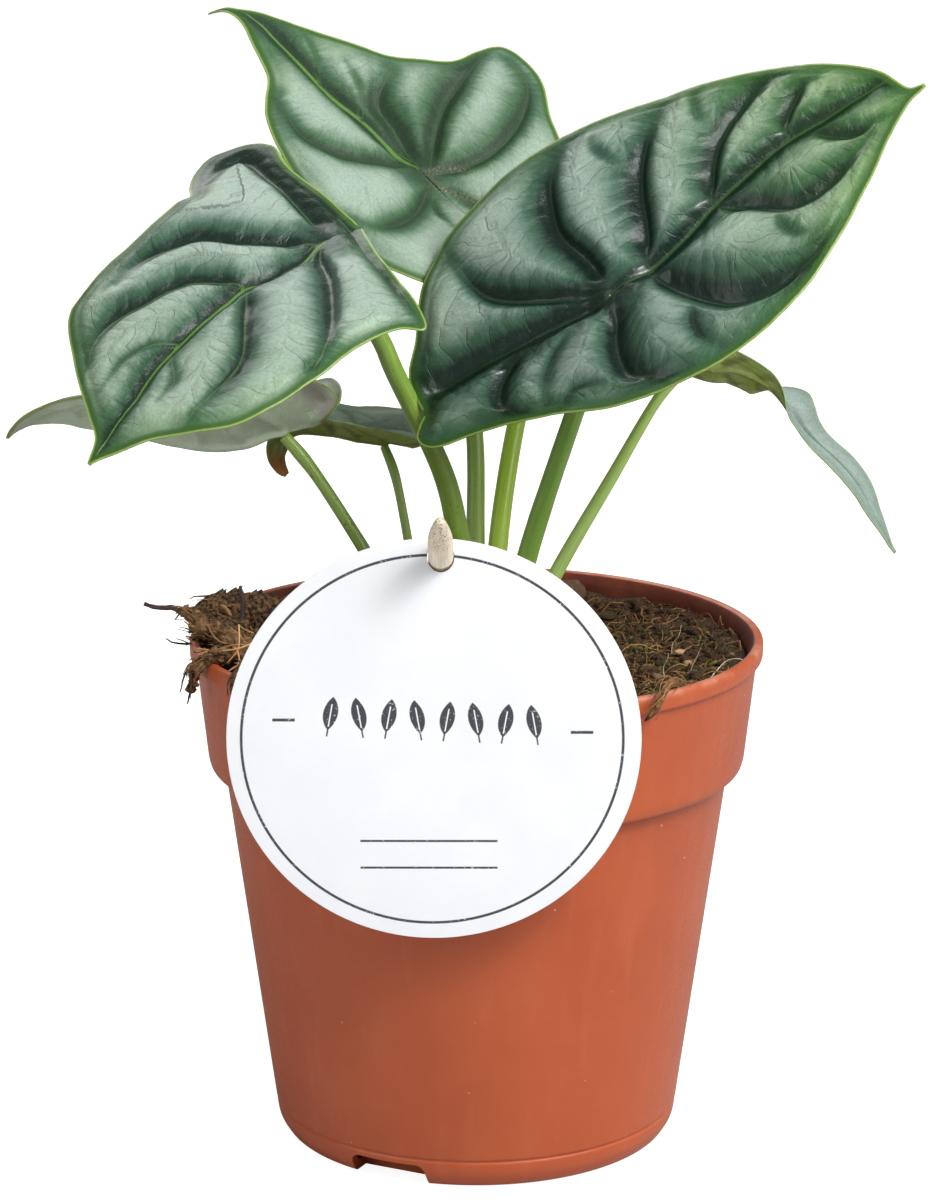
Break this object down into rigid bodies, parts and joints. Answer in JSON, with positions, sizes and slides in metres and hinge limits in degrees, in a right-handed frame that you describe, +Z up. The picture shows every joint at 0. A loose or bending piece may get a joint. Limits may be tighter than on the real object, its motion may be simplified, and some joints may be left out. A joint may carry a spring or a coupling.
{
  "type": "potted silver dragon alocasia",
  "caption": "Small aroid house plant in a round nursery pot: broad silver leaves on arching stalks, soil, roots over the rim, and a blank round card held by a bamboo stick.",
  "frame": {"origin": "middle of the pot's flat base, on the surface that it stands on", "axes": "+Z up, the plant's longest extent; the side with the card faces -Y; +X to the right of the picture"},
  "size_m": [0.1824, 0.1496, 0.232],
  "materials": {
    "pot_plastic": "moulded terracotta coloured plastic, satin",
    "soil": "moist peat and coir with moss and fine roots, matt",
    "crown": "fleshy stem, brown green, matt",
    "leaf": "silver green blade, dark green sunken veins, waxy sheen",
    "stalk": "smooth fleshy yellow green stalk, waxy sheen",
    "bamboo": "bare pale bamboo, satin",
    "card": "smooth white coated card with thin grey print",
    "roots": "dried brown roots and fibres, matt"
  },
  "bodies": {
    "root": {"pot": "pot_plastic", "soil": "soil", "crown": "crown", "leaf_front_right": "leaf", "leaf_front_left": "leaf", "leaf_back": "leaf", "leaf_left_side": "leaf", "leaf_small_drooping": "leaf", "leaf_twisted_right": "leaf", "leaf_hidden_back": "leaf", "stalk_front_right": "stalk", "stalk_front_left": "stalk", "stalk_back": "stalk", "stalk_left_side": "stalk", "stalk_small_drooping": "stalk", "stalk_twisted_right": "stalk", "stalk_hidden_back": "stalk", "bamboo_stick": "bamboo", "label_card": "card", "root_tuft": "roots"}
  },
  "joints": []
}
